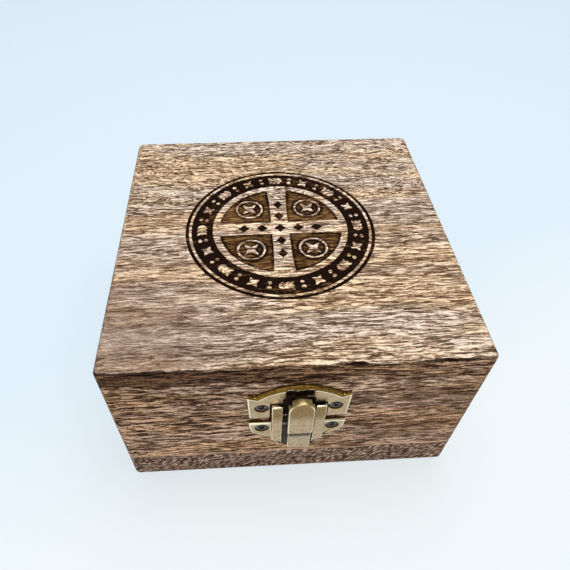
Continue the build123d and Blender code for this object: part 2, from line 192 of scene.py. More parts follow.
class Graph:
    """Adds and joins the nodes of one tree."""

    def __init__(self, tree):
        self.tree = tree

    def add(self, kind, **settings):
        node = self.tree.nodes.new(kind)
        for name, value in settings.items():
            setattr(node, name, value)
        return node

    def join(self, source, socket):
        """Links an output, or sets a plain value."""
        if isinstance(source, bpy.types.NodeSocket):
            self.tree.links.new(source, socket)
        else:
            socket.default_value = source

    def fill(self, node, *values):
        """Joins values to a node's inputs in their order, and returns its outputs."""
        for value, socket in zip(values, node.inputs):
            self.join(value, socket)
        return node.outputs

    def math(self, operation, *values):
        return self.fill(self.add("ShaderNodeMath", operation=operation), *values)[0]

    def vector(self, operation, *values):
        outputs = self.fill(self.add("ShaderNodeVectorMath", operation=operation), *values)
        return outputs["Value" if operation == "LENGTH" else "Vector"]

    def times(self, product, *values):
        """Product of two or more values."""
        for value in values:
            product = self.math("MULTIPLY", product, value)
        return product

    def most(self, largest, *values):
        """Largest of two or more values."""
        for value in values:
            largest = self.math("MAXIMUM", largest, value)
        return largest

    def scaled(self, value, factor, offset):
        """A value times a factor, plus an offset."""
        return self.math("MULTIPLY_ADD", value, factor, offset)

    def minus(self, first, second):
        return self.math("SUBTRACT", first, second)

    def size(self, value):
        """A value without its sign."""
        return self.math("ABSOLUTE", value)

    def below(self, value, limit):
        """One where the value is below the limit, nought elsewhere."""
        return self.math("LESS_THAN", value, limit)

    def above(self, value, limit):
        """One where the value is above the limit, nought elsewhere."""
        return self.math("GREATER_THAN", value, limit)

    def away(self, place, centre):
        """Distance of a place from a centre."""
        return self.vector("LENGTH", self.vector("SUBTRACT", place, centre))

    def spread(self, value, low, high, to_low=0.0, to_high=1.0):
        """Smooth step of a value from low to high."""
        node = self.add("ShaderNodeMapRange", interpolation_type="SMOOTHSTEP")
        return self.fill(node, value, low, high, to_low, to_high)[0]

    def noise(self, place, stretch=None, scale=1.0, detail=2.0, roughness=0.5):
        """Noise about a half. It is finer along the axes that have a larger stretch."""
        if stretch is not None:
            place = self.vector("MULTIPLY", place, stretch)
        node = self.add("ShaderNodeTexNoise", noise_dimensions="3D")
        self.join(place, node.inputs["Vector"])
        node.inputs["Scale"].default_value = scale
        node.inputs["Detail"].default_value = detail
        node.inputs["Roughness"].default_value = roughness
        return node.outputs[0]

    def mix(self, share, first, second, blend="MIX"):
        node = self.add("ShaderNodeMix", data_type="RGBA", blend_type=blend)
        self.join(share, node.inputs["Factor"])
        self.join(first, node.inputs[6])
        self.join(second, node.inputs[7])
        return node.outputs[2]

    def tinted(self, shade, tint, share=1.0):
        """A shade multiplied by a tint, or by a level of grey."""
        return self.mix(share, shade, tint, "MULTIPLY")

    def split(self, place):
        return self.fill(self.add("ShaderNodeSeparateXYZ"), place)

    def combine(self, *values):
        return self.fill(self.add("ShaderNodeCombineXYZ"), *values)[0]

    def group(self, name, **inputs):
        node = self.add("ShaderNodeGroup", node_tree=bpy.data.node_groups[name])
        for key, value in inputs.items():
            self.join(value, node.inputs[key.replace("_", " ")])
        return node.outputs


SOCKETS = {"float": "NodeSocketFloat", "colour": "NodeSocketColor", "vector": "NodeSocketVector"}


def new_group(name, inputs, outputs):
    """Makes an empty node group with named sockets, and returns its graph and both ends."""
    tree = bpy.data.node_groups.new(name, "ShaderNodeTree")
    for label, (kind, value) in inputs.items():
        socket = tree.interface.new_socket(label, in_out="INPUT", socket_type=SOCKETS[kind])
        if value is not None:
            socket.default_value = value
    for label, kind in outputs.items():
        tree.interface.new_socket(label, in_out="OUTPUT", socket_type=SOCKETS[kind])
    graph = Graph(tree)
    return graph, graph.add("NodeGroupInput").outputs, graph.add("NodeGroupOutput").inputs


def grain_group():
    """Streaked grain that runs along X right through a board. It works in millimetres."""
    graph, given, result = new_group(
        "Wood grain",
        {
            "Place": ("vector", None),
            "Pale": ("colour", (0.8, 0.6, 0.45, 1)),
            "Middle": ("colour", (0.4, 0.28, 0.2, 1)),
            "Dark": ("colour", (0.15, 0.1, 0.07, 1)),
            "Width": ("float", 0.0006),
            "Wave": ("float", 0.0012),
            "Ripple": ("float", 0.0),
            "Contrast": ("float", 1.0),
            "Seed": ("float", 0.0),
        },
        {"Color": "colour", "Tone": "float", "Height": "float"},
    )
    per_metre = 1.0 / MM
    seed = graph.combine(given["Seed"], graph.times(given["Seed"], 0.37), 0.0)
    place = graph.vector("MULTIPLY_ADD", given["Place"], (per_metre, per_metre, per_metre), seed)

    def streaks(along, across=None, widths=None, detail=2.0, roughness=0.5):
        """Noise stretched along the grain, about nought, so many millimetres or streak widths across."""
        if widths is None:
            stretch = (1.0 / along, 1.0 / across, 1.0 / across)
        else:
            closer = graph.math("DIVIDE", 1.0, graph.times(given["Width"], widths * per_metre))
            stretch = graph.combine(1.0 / along, closer, closer)
        return graph.minus(graph.noise(place, stretch, detail=detail, roughness=roughness), 0.5)

    def crisp(value, width):
        """Pushes a value towards minus a half or a half."""
        return graph.minus(graph.spread(value, -width, width), 0.5)

    # the grain sways and ripples as a whole
    largest_lift = 4.0 * per_metre
    sway = graph.scaled(streaks(along=10.0, across=4.0), 0.25, streaks(along=45.0, across=16.0))
    lift = graph.times(sway, graph.times(given["Wave"], largest_lift))
    ripple = graph.times(given["Ripple"], largest_lift)
    lift = graph.scaled(streaks(along=7.0, across=4.0), ripple, lift)
    place = graph.vector("ADD", place, graph.combine(0.0, lift, lift))

    # fine and coarse streaks, grit and broad bands make the tone
    fine = crisp(streaks(along=4.6, widths=1.0, detail=1.0), width=0.06)
    grit = crisp(streaks(along=0.7, across=0.30, detail=1.0), width=0.12)
    coarse = crisp(streaks(along=12.0, widths=2.4, roughness=0.6), width=0.13)
    bands = streaks(along=40.0, across=4.5)
    tone = graph.scaled(fine, 0.62, graph.times(coarse, 0.40))
    tone = graph.scaled(grit, 0.26, tone)
    tone = graph.scaled(tone, given["Contrast"], graph.scaled(bands, 0.7, 0.47))

    # dark pores, and patches that lean to gold or to grey
    shade = graph.mix(graph.spread(tone, 0.02, 0.5), given["Dark"], given["Middle"])
    shade = graph.mix(graph.spread(tone, 0.5, 1.0), shade, given["Pale"])
    pores = graph.spread(streaks(along=2.6, widths=0.8, detail=1.0), 0.10, 0.16)
    shade = graph.mix(graph.times(pores, 0.65), shade, given["Dark"])
    grey_tint, gold_tint = (0.95, 0.99, 1.08, 1.0), (1.05, 1.0, 0.89, 1.0)
    golden = graph.spread(streaks(along=55.0, across=11.0), -0.10, 0.12)
    tint = graph.mix(golden, grey_tint, gold_tint)
    graph.join(graph.tinted(shade, tint), result["Color"])
    graph.join(tone, result["Tone"])
    graph.join(graph.minus(tone, pores), result["Height"])


def scorch_group():
    """Burns a colour from streaky brown to black as the mask goes from nought to one."""
    graph, given, result = new_group(
        "Scorch",
        {
            "Color": ("colour", (0.5, 0.4, 0.3, 1)),
            "Tone": ("float", 0.5),
            "Mask": ("float", 0.0),
            "Gold": ("colour", (0.34, 0.185, 0.07, 1)),
            "Brown": ("colour", (0.06, 0.024, 0.008, 1)),
            "Black": ("colour", (0.012, 0.006, 0.003, 1)),
        },
        {"Color": "colour"},
    )
    toasted = graph.mix(graph.spread(given["Tone"], 0.15, 1.0), given["Brown"], given["Gold"])
    browned = graph.mix(graph.spread(given["Mask"], 0.0, 0.4), given["Color"], toasted)
    charred = graph.mix(graph.spread(given["Mask"], 0.42, 0.9), browned, given["Black"])
    graph.join(charred, result["Color"])


def patina_group():
    """Mottled, rubbed metal: golden where it is told to be, and darker in its corners, partly as patina and
    partly as painted shade.
    """
    graph, given, result = new_group(
        "Patina",
        {
            "Place": ("vector", None),
            "Rubbed": ("colour", (0.6, 0.5, 0.35, 1)),
            "Golden": ("colour", (0.4, 0.25, 0.08, 1)),
            "Aged": ("colour", (0.15, 0.1, 0.03, 1)),
            "Gold": ("float", 0.0),
            "Corner": ("float", 0.0),
            "Age": ("float", 0.4),
            "Base Roughness": ("float", 0.32),
        },
        {"Color": "colour", "Roughness": "float", "Height": "float"},
    )
    blotches = graph.noise(given["Place"], scale=900.0, detail=3.0, roughness=0.6)
    specks = graph.noise(given["Place"], scale=3600.0, roughness=0.6)
    aged_and_shaded = graph.times(graph.spread(blotches, 0.42, 0.68), given["Age"])
    aged_and_shaded = graph.scaled(graph.spread(specks, 0.55, 0.75), 0.2, aged_and_shaded)
    # corners and gaps, from Corner, darken as patina and as painted shade
    aged_and_shaded = graph.math("MINIMUM", graph.most(aged_and_shaded, given["Corner"]), 1.0)
    ground = graph.mix(given["Gold"], given["Rubbed"], given["Golden"])
    graph.join(graph.mix(aged_and_shaded, ground, given["Aged"]), result["Color"])
    rough = graph.scaled(aged_and_shaded, 0.22, given["Base Roughness"])
    graph.join(graph.scaled(graph.minus(specks, 0.5), 0.2, rough), result["Roughness"])
    graph.join(graph.scaled(blotches, 0.5, specks), result["Height"])


# Materials


# Sheen of the dry wood, depth of its grain, and how strongly the raw wood inside is streaked
WOOD_GLOSS = 0.05
WOOD_BUMP = 0.05 * MM
RAW_CONTRAST = 0.7
# Half the width of the latch's window, and of the gap over its housing
WINDOW_HALF = 4.8 * MM
HOLLOW_HALF = 7.9 * MM
# A face this near the parting line is the top of a wall
RIM = 0.25 * MM


def new_material(name):
    """A new material, its graph, its shader and the place of the point, in the model's metres."""
    material = bpy.data.materials.new(name)
    material.use_nodes = True
    graph = Graph(material.node_tree)
    place = graph.add("ShaderNodeTexCoord").outputs["Object"]
    return material, graph, material.node_tree.nodes["Principled BSDF"], place


def surface(graph, shader, shade, rough, height, depth, **plain):
    """Joins a surface to its shader, with bumps of the given depth and the plain values."""
    graph.join(shade, shader.inputs["Base Color"])
    graph.join(rough, shader.inputs["Roughness"])
    for name, value in plain.items():
        shader.inputs[name.replace("_", " ")].default_value = value
    bump = graph.add("ShaderNodeBump")
    bump.inputs["Strength"].default_value = 1.0
    bump.inputs["Distance"].default_value = depth
    graph.join(height, bump.inputs["Height"])
    graph.join(bump.outputs[0], shader.inputs["Normal"])


def closeness(graph, reach):
    """How shut in a point is, from nought in the open to one in a deep gap."""
    corner = graph.add("ShaderNodeAmbientOcclusion", samples=8)
    corner.inputs["Distance"].default_value = reach
    return graph.spread(corner.outputs["AO"], 0.25, 0.9, 1.0, 0.0)


def grain(graph, place, wood, palette, seed, **looks):
    """The grain group in the pale, middle and dark colours of one palette."""
    pale, middle, dark = (getattr(wood, f"{palette}_{part}") for part in ("pale", "middle", "dark"))
    width = wood.lid_streak if palette == "lid" else wood.wall_streak
    return graph.group(
        "Wood grain", Place=place, Pale=pale, Middle=middle, Dark=dark,
        Seed=seed, Width=width, Wave=wood.wave, **looks,
    )


def indoors(graph, place):
    """One inside the walls of the box and nought outside."""
    x, y, z = graph.split(place)
    slack = 0.05 * MM
    across = graph.below(graph.size(x), slack - BASE_LEFT_HIGH.x)
    deep = graph.below(graph.size(y), slack - BASE_FRONT_HIGH.y)
    return graph.times(across, deep, graph.above(z, 0.5 * MM))


def burnt_roundel(graph, place, wood, shade, tone, sunk):
    """Scrubs the wood of the roundel and burns its cuts, and returns the shade and how burnt it is."""
    carving = bpy.context.scene.box_carving
    from_centre = graph.away(place, (carving.centre[0], carving.centre[1], LID_HIGH.z))
    scrubbed = graph.spread(from_centre, carving.line_radius, carving.line_radius - MM, 1.0, 1.18)
    mottle = graph.noise(place, (350.0, 1100.0, 350.0), roughness=0.6)
    uneven = graph.noise(place, scale=90.0, detail=1.0)
    burnt = graph.times(
        graph.spread(sunk, 0.03 * MM, 0.33 * MM),
        graph.spread(mottle, 0.3, 0.6, 0.72, 1.1),
        graph.spread(uneven, 0.35, 0.6, 0.85, 1.15),
        graph.below(from_centre, carving.line_radius + MM),
    )
    scorched = graph.group(
        "Scorch", Color=graph.tinted(shade, scrubbed), Tone=tone, Mask=burnt,
        Gold=wood.scorch_gold, Brown=wood.scorch_brown, Black=wood.scorch_and_shadow_black,
    )
    return scorched["Color"], burnt


def charred_edge(graph, place, sunk, in_front):
    """How far a point lies below the ragged edge of the flat top, and how black its charred line is."""
    x, y, _ = graph.split(place)
    over_x = graph.minus(graph.size(x), LID_HIGH.x - TOP_ROUND)
    over_y = graph.minus(graph.size(y), REAR_HIGH.y - TOP_ROUND)
    over = graph.most(over_x, over_y, 0.0)
    down = graph.times(graph.math("ADD", over, sunk), graph.above(over, 0.0))
    ragged = graph.noise(place, (260.0, 500.0, 500.0), detail=3.0, roughness=0.7)
    past_line = graph.minus(down, graph.scaled(ragged, 2.4 * MM, 0.3 * MM))

    # heavy along the left and here and there along the right, and faint away from the front
    sweep = graph.noise(place, (45.0, 20.0, 20.0), detail=1.0)
    patchy = graph.noise(place, (120.0, 20.0, 20.0))
    leftward = graph.spread(x, -18.0 * MM, -32.0 * MM)
    rightward = graph.times(graph.spread(x, 4.0 * MM, 14.0 * MM), graph.spread(sweep, 0.42, 0.58))
    heavy = graph.times(
        graph.most(leftward, rightward, 0.18),
        graph.scaled(in_front, 0.85, 0.15),
        graph.spread(patchy, 0.35, 0.6, 0.55, 1.0),
    )
    beside = graph.minus(graph.size(past_line), graph.times(heavy, 0.5 * MM))
    line = graph.spread(beside, 0.0, 0.2 * MM, 1.0, 0.0)
    return past_line, graph.times(line, graph.scaled(heavy, 0.4, 0.6))


def board_material(name, wood, seed, ripple=0.0):
    """Lid board: streaked wood, burnt in the cuts and along its edges, dark on its sides."""
    material, graph, shader, place = new_material(name)
    x, y, z = graph.split(place)
    sunk = graph.minus(LID_HIGH.z, z)
    in_front = graph.below(y, LID_LOW.y + TOP_ROUND)

    # greyer, darker and calmer towards the front left corner
    front_left_tint = (0.84, 0.84, 0.87, 1.0)
    front_left_nearness = graph.spread(graph.away(place, (LID_LOW.x, LID_LOW.y, LID_HIGH.z)), 55.0 * MM, 12.0 * MM)
    lively = graph.scaled(front_left_nearness, -0.6, 1.3 if ripple else 1.1)
    top = grain(graph, place, wood, "lid", seed, Ripple=ripple, Contrast=lively)
    shade = graph.tinted(top["Color"], front_left_tint, front_left_nearness)
    shade, burnt = burnt_roundel(graph, place, wood, shade, top["Tone"], sunk)

    # dark sides, with a scorched band along the left of the front, under the charred line
    scorch_tint = (0.26, 0.20, 0.15, 1.0)
    past_line, line = charred_edge(graph, place, sunk, in_front)
    band = graph.times(graph.spread(x, 25.0 * MM, -20.0 * MM, 0.35, 1.0), graph.scaled(in_front, 0.9, 0.1))
    side = grain(graph, place, wood, "wall", seed)
    sides = graph.tinted(side["Color"], scorch_tint, graph.times(band, 0.95))
    shade = graph.mix(graph.spread(past_line, 0.0, 0.5 * MM), shade, sides)
    shade = graph.mix(line, shade, wood.scorch_and_shadow_black)

    # raw wood underneath, inside the walls
    under = graph.above(sunk, LID_HIGH.z - LID_LOW.z - 0.1 * MM)
    raw = grain(graph, place, wood, "raw", seed, Contrast=RAW_CONTRAST)
    shade = graph.mix(graph.times(under, indoors(graph, place)), shade, raw["Color"])
    rough = graph.scaled(burnt, 0.2, 0.6)
    surface(graph, shader, shade, rough, top["Height"], WOOD_BUMP, Specular_IOR_Level=WOOD_GLOSS)
    return material


def wild_strip(graph, place, wood, shade):
    """Speckled, swirling grain along the foot of the front wall, under a pale wavy line."""
    height, sway, cool_tint = 12.0 * MM, 9.0 * MM, (0.80, 0.84, 1.0, 1.0)
    x, _, z = graph.split(place)

    # how far a point lies under the wavy line
    wander = graph.noise(place, (26.0, 1.0, 1.0))
    under = graph.minus(graph.scaled(graph.minus(wander, 0.5), sway, height), z)

    # leaning specks, dark and pale
    swirl = graph.noise(place, (90.0, 1.0, 120.0), detail=1.0)
    lean = graph.scaled(x, -0.45, graph.times(swirl, 10.0 * MM))
    leaning = graph.vector("ADD", place, graph.combine(0.0, 0.0, lean))
    specks = graph.noise(leaning, (620.0, 1.0, 1500.0), detail=1.5, roughness=0.6)
    ground = graph.mix(0.6, shade, wood.wall_middle)
    ground = graph.mix(graph.spread(specks, 0.51, 0.45, 0.0, 0.9), ground, wood.wall_dark)
    ground = graph.mix(graph.spread(specks, 0.55, 0.59, 0.0, 0.9), ground, wood.wall_pale)
    ground = graph.tinted(ground, cool_tint)
    shade = graph.mix(graph.spread(under, 0.0, 1.2 * MM, 0.0, 0.85), shade, ground)
    line = graph.spread(graph.size(under), 0.1 * MM, 0.6 * MM, 0.8, 0.0)
    return graph.mix(graph.times(line, graph.spread(wander, 0.36, 0.56)), shade, wood.wall_pale)


def latch_shadow_mask(graph, place):
    """Mask of painted shadow: nearly one on the wood seen through the latch's window and over its housing,
    nought elsewhere.
    """
    x, y, z = graph.split(place)
    aside = graph.size(graph.minus(x, LATCH_X))
    window = graph.times(graph.below(aside, WINDOW_HALF), graph.below(z, WINDOW_TOP))
    hollow = graph.times(graph.below(aside, HOLLOW_HALF), graph.below(z, HOLLOW_TOP))
    near = graph.times(graph.above(z, TAB_TOP), graph.below(y, LID_LOW.y + 6.0 * MM))
    on_rim = graph.math("COMPARE", z, PARTING, RIM)
    return graph.times(graph.most(window, hollow), near, graph.scaled(on_rim, -0.9, 0.93))


def wall_material(name, wood, seed, along_y=False, wild_foot=False, behind=False, left_level=1.0):
    """Wall board: darker streaked wood outside, paler raw wood inside."""
    material, graph, shader, place = new_material(name)
    x, y, z = graph.split(place)
    turned = graph.combine(y, x, z) if along_y else place
    calmer = graph.spread(x, 0.0, 0.8 * LID_HIGH.x, 1.0, 0.72)
    outside = grain(graph, turned, wood, "wall", seed, Contrast=calmer)
    raw = grain(graph, turned, wood, "raw", seed, Contrast=RAW_CONTRAST)
    level = graph.spread(x, LID_LOW.x, 0.7 * LID_HIGH.x, left_level, 1.0)
    shade = graph.tinted(outside["Color"], level)
    if wild_foot:
        shade = wild_strip(graph, place, wood, shade)

    # worn pale here and there along the parting line, and darker along the foot
    to_rim = graph.size(graph.minus(z, PARTING))
    patches = graph.noise(place, (60.0, 60.0, 5.0))
    worn = graph.times(graph.spread(to_rim, RIM, 0.7 * MM, 0.85, 0.0), graph.spread(patches, 0.5, 0.62))
    shade = graph.mix(worn, shade, wood.wall_pale)
    shade = graph.mix(graph.spread(z, 0.9 * MM, 0.1 * MM, 0.0, 0.7), shade, wood.wall_dark)

    # raw inside and on top, short of the outer faces
    side = graph.above(graph.size(x), LID_HIGH.x - 0.4 * MM)
    end = graph.above(graph.size(y), REAR_HIGH.y - 0.4 * MM)
    rim = graph.times(graph.below(to_rim, RIM), graph.minus(1.0, graph.most(side, end)))
    shade = graph.mix(graph.most(indoors(graph, place), rim), shade, raw["Color"])
    # painted shadow: the wood seen through the latch's window and over its housing is painted near black
    if behind:
        shade = graph.mix(latch_shadow_mask(graph, place), shade, wood.scorch_and_shadow_black)
    rough = graph.scaled(outside["Tone"], -0.1, 0.66)
    surface(graph, shader, shade, rough, outside["Height"], WOOD_BUMP, Specular_IOR_Level=WOOD_GLOSS)
    return material


def brass_material(
    name, metal, rubbed, age, rough, gold_from=None, dark_below=None, gold=0.0, reach=1.6 * MM,
):
    """Antique brass, darker in its gaps, partly as patina and partly as painted shade. It turns golden
    above one height and takes a painted shadow under another.
    """
    material, graph, shader, place = new_material(name)
    height = graph.split(place)[2]
    # darker in gaps and next to other parts: patina and painted shade
    shut = closeness(graph, reach)
    if gold_from is not None:
        gold = graph.spread(height, gold_from - 2.5 * MM, gold_from + 2.0 * MM, 0.0, 0.85)
    if dark_below is not None:
        # painted shadow in a band under dark_below, the lever's step over its thumb tab
        under = graph.minus(dark_below, height)
        starts, ends = graph.spread(under, 0.0, 0.4 * MM), graph.spread(under, 3.4 * MM, 2.4 * MM)
        darkening = graph.times(starts, ends, 0.9)
        shut = graph.most(shut, darkening)
    patina = graph.group(
        "Patina", Place=place, Rubbed=rubbed, Golden=metal.brass_gold_and_top_shade, Aged=metal.brass_patina_and_shade,
        Gold=gold, Corner=shut, Age=age, Base_Roughness=rough,
    )
    surface(graph, shader, patina["Color"], patina["Roughness"], patina["Height"], 0.012 * MM, Metallic=1.0)
    return material


def steel_material(name, tint, age, rough, dark_above=None):
    """Plain steel of the screws, the pin and the spring, in shade above a height."""
    # darkening is the dark of the aged specks and of the painted shade
    darkening = (0.02, 0.017, 0.015, 1.0)
    material, graph, shader, place = new_material(name)
    # darker in gaps, partly grime and partly painted shade
    shut = closeness(graph, 1.2 * MM)
    if dark_above is not None:
        shade = graph.spread(graph.split(place)[2], dark_above, dark_above + 0.4 * MM, 0.0, 0.9)
        shut = graph.most(shut, shade)
    patina = graph.group(
        "Patina", Place=place, Rubbed=tint, Aged=darkening, Corner=shut, Age=age, Base_Roughness=rough,
    )
    surface(graph, shader, patina["Color"], patina["Roughness"], patina["Height"], 0.01 * MM, Metallic=1.0)
    return material


def made(name, maker, *arguments, **settings):
    """The material of that name, made once."""
    return bpy.data.materials.get(name) or maker(name, *arguments, **settings)


# Places of the finishes in the set below
FLAT, RUBBED, GOLDEN_TOP_SHADE, DARK, SHADED, RIDGE = range(6)


def brass_set(metal, kind, **heights):
    """The brass of one fitting: flat, rubbed edge, golden brown with painted shade where it looks up,
    painted dark shade, painted shade on down slopes, and bright ridge.
    """
    finishes = (
        (f"Antique brass {kind}", metal.brass_flat, 0.3, 0.34, heights),
        ("Rubbed brass edge", metal.brass_edge, 0.05, 0.26, {}),
        ("Golden brass edge", metal.brass_gold_and_top_shade, 0.45, 0.42, {"gold": 1.0}),
        ("Dark brass", metal.brass_patina_and_shade, 0.6, 0.55, {}),
        ("Shaded brass", metal.brass_shaded, 0.3, 0.42, {}),
        ("Bright brass ridge", metal.brass_ridge, 0.1, 0.42, {"reach": 0.4 * MM}),
    )
    return [
        made(name, brass_material, metal, rubbed, age, rough, **looks)
        for name, rubbed, age, rough, looks in finishes
    ]


def finish_node(node, material):
    """Gives a piece of the model its material."""
    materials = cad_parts[node].data.materials
    materials.clear()
    materials.append(material)


# Mesh helpers


def piece_from(name, bm, body, nodes, materials, smooth=35.0):
    """Turns a bmesh into a piece that stands for the given nodes and rides on a body."""
    bmesh.ops.recalc_face_normals(bm, faces=bm.faces)
    mesh = bpy.data.meshes.new(name)
    bm.to_mesh(mesh)
    bm.free()
    for polygon in mesh.polygons:
        polygon.use_smooth = True
    mesh.set_sharp_from_angle(angle=math.radians(smooth))
    piece = bpy.data.objects.new(name, mesh)
    bpy.context.scene.collection.objects.link(piece)
    for material in materials:
        mesh.materials.append(material)
    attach(piece, body)
    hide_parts(*nodes)


def ring_of(bm, points):
    return [bm.verts.new(point) for point in points]


def bridge(bm, first, second):
    """Quads between two rings of as many vertices."""
    count = len(first)
    faces = []
    for i in range(count):
        j = (i + 1) % count
        faces.append(bm.faces.new((first[i], first[j], second[j], second[i])))
    return faces


def fan(bm, hub, ring):
    """Triangles between a point and a ring."""
    return [bm.faces.new((hub, vertex, ring[(i + 1) % len(ring)])) for i, vertex in enumerate(ring)]


def drop_fins(bm):
    """Removes the fins that rounding leaves: triangles folded flat onto the face beside them."""
    tips = [v for v in bm.verts if len(v.link_edges) == 2 and any(len(f.verts) == 3 for f in v.link_faces)]
    bmesh.ops.weld_verts(bm, targetmap={tip: tip.link_edges[0].other_vert(tip) for tip in tips})


def screw_centres(screws):
    """Centres and head radius of a pair of screws that stand side by side."""
    low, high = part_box(screws)
    radius, height = (high.z - low.z) / 2.0, (high.z + low.z) / 2.0
    return [(low.x + radius, height), (high.x - radius, height)], radius


def in_screw_hole(point, screws):
    """Whether a point lies within or close round the head of one of the screws."""
    centres, radius = screw_centres(screws)
    return any(math.hypot(point.x - x, point.z - z) < radius + 0.5 * MM for x, z in centres)


def softened(node, width, upward=None, holes=None, shut_in=None, reshape=None):
    """A copy of a node's mesh with its hard edges rounded.

    Rounded and chamfered faces are bright. Faces that look up are golden brown with painted shade, or as
    upward says, and those that slope down take painted shade. The screw holes' sides and the faces picked
    by shut_in are painted dark as shade.
    """
    hard_angle, flat_angle = math.radians(28.0), math.radians(0.5)
    largest_chamfer = 6.0 * MM * MM
    bm = bmesh.new()
    bm.from_mesh(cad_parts[node].data)
    bmesh.ops.remove_doubles(bm, verts=bm.verts, dist=1e-6)
    bmesh.ops.dissolve_limit(bm, angle_limit=flat_angle, verts=bm.verts, edges=bm.edges)
    if reshape:
        reshape(bm)
    hard = [e for e in bm.edges if e.is_manifold and e.calc_face_angle(0.0) > hard_angle]
    for face in bm.faces:
        normal, middle = face.normal, face.calc_center_median()
        if holes and abs(normal.y) < 0.97 and in_screw_hole(middle, holes):
            face.material_index = DARK
        elif normal.z > 0.35:
            face.material_index = upward(middle) if upward else GOLDEN_TOP_SHADE
        elif normal.y < -0.2 and normal.z < -0.1:
            face.material_index = SHADED
        elif -0.93 < normal.y < -0.3 and face.calc_area() < largest_chamfer:
            face.material_index = RUBBED
        else:
            face.material_index = FLAT
    bmesh.ops.bevel(
        bm, geom=hard, offset=width, offset_type="OFFSET", segments=2, profile=0.5,
        affect="EDGES", clamp_overlap=False, material=RUBBED,
    )
    bmesh.ops.remove_doubles(bm, verts=bm.verts, dist=3e-6)
    bmesh.ops.dissolve_degenerate(bm, edges=bm.edges, dist=2e-6)
    drop_fins(bm)
    for face in bm.faces:
        middle = face.calc_center_median()
        if shut_in and shut_in(face.normal, middle):
            face.material_index = DARK
        elif holes and face.material_index == RUBBED and in_screw_hole(middle, holes):
            face.material_index = FLAT
    return bm


# Carving, worked out in millimetres


def step(value, low, high):
    """Smooth step from nought at low to one at high."""
    t = np.clip((value - low) / (high - low), 0.0, 1.0)
    return t * t * (3.0 - 2.0 * t)


def leaf(along, across, centre, turn, half_length, half_width):
    """Distance-like value of a pointed leaf: negative inside."""
    c, s = math.cos(turn), math.sin(turn)
    u = (along - centre[0]) * c + (across - centre[1]) * s
    v = -(along - centre[0]) * s + (across - centre[1]) * c
    share = np.clip(u / half_length, -1.0, 1.0)
    edge = half_width * (1.0 - share**2)
    return np.where(np.abs(u) < half_length, np.abs(v) - edge, np.hypot(np.abs(u) - half_length, v))


def flower(along, across, length, width):
    """Four petals in a cross and a hole in the middle."""
    hole = 0.35 * width
    petals = [leaf(along, across, (0.0, 0.0), turn, length, width) for turn in (math.pi / 4, -math.pi / 4)]
    return np.maximum(np.minimum(*petals), hole - np.hypot(along, across))


def sprig(along, across):
    """A twig with three pairs of leaves."""
    spacing, off_twig, lean, half_leaf, half_width = 1.15, 0.62, 0.75, 0.85, 0.30
    half_twig, twig_reach = 0.13, 1.7
    leaves = [
        leaf(along, across, (place * spacing, side * off_twig), side * lean, half_leaf, half_width)
        for place in (-1.0, 0.0, 1.0) for side in (-1.0, 1.0)
    ]
    twig = np.maximum(np.abs(across) - half_twig, np.abs(along) - twig_reach)
    return np.minimum.reduce([*leaves, twig])


def band_motifs(angle, r, middle, count):
    """Sprigs, pairs of dots and small flowers by turns round the band."""
    larger, dot_place, dot_radius, petal_length, petal_width = 1.22, 0.75, 0.42, 1.6, 0.5
    pitch = 2.0 * math.pi / count
    index = np.round(angle / pitch)
    along, across = (angle - index * pitch) * middle / larger, (r - middle) / larger
    turn = index.astype(int) % 4
    dots = np.hypot(along, np.abs(across) - dot_place) - dot_radius
    petals = flower(along, across, petal_length, petal_width)
    return np.select([turn == 0, turn == 2], [sprig(along, across), petals], dots)


def field_motifs(x, y, carving):
    """A cross that reaches the inner ring, and a small ring with a flower in each quarter."""
    flare, inward, half_ring, petal_width = 0.6, 0.2, 0.2, 0.62
    arm, side = np.maximum(np.abs(x), np.abs(y)), np.minimum(np.abs(x), np.abs(y))
    reach = carving.field_radius / MM
    cross = side - 0.5 * carving.arm_width / MM - flare * (arm / reach) ** 4
    small = carving.roundel_radius / MM
    offset = reach / 2.0 - inward
    u, v = np.abs(x) - offset, np.abs(y) - offset
    ring = np.abs(np.hypot(u, v) - small) - half_ring
    return np.minimum.reduce([cross, ring, flower(u, v, 0.7 * small, petal_width)])


def cross_marks(x, y):
    """Lozenges in a row along the arms of the cross: negative inside."""
    pitch, last, half_long, half_wide, steepness = 5.6, 2, 2.0, 1.7, 1.3
    arm, side = np.maximum(np.abs(x), np.abs(y)), np.minimum(np.abs(x), np.abs(y))
    off = arm - pitch * np.clip(np.round(arm / pitch), 0, last)
    return (np.abs(off) / half_long + side / half_wide - 1.0) * steepness


def carving_depth(px, py, carving):
    """Depth of the engraving at points given from the roundel's centre, in metres."""
    x, y = px / MM, py / MM
    r, angle = np.hypot(x, y), np.arctan2(y, x)
    slope = carving.wall_width / MM
    outer, inner, field = carving.band_outer / MM, carving.band_inner / MM, carving.field_radius / MM
    line, half_line, fade = carving.line_radius / MM, 0.55, 0.6

    def cut(inside, depth):
        """A cut that is deeper along its outline, from the distance inside it."""
        deeper = carving.edge_depth * np.exp(-np.maximum(inside, 0.0) / fade)
        return step(inside, 0.0, slope) * (depth + deeper)

    motifs = band_motifs(angle, r, (outer + inner) / 2.0, carving.motif_count)
    in_band = np.minimum.reduce([r - inner, outer - r, motifs])
    in_field = np.minimum(field - r, field_motifs(x, y, carving))
    return np.maximum.reduce([
        cut(in_band, carving.band_depth),
        cut(in_field, carving.field_depth),
        cut(-cross_marks(x, y), carving.band_depth),
        cut(half_line - np.abs(r - line), carving.band_depth + carving.edge_depth),
    ])


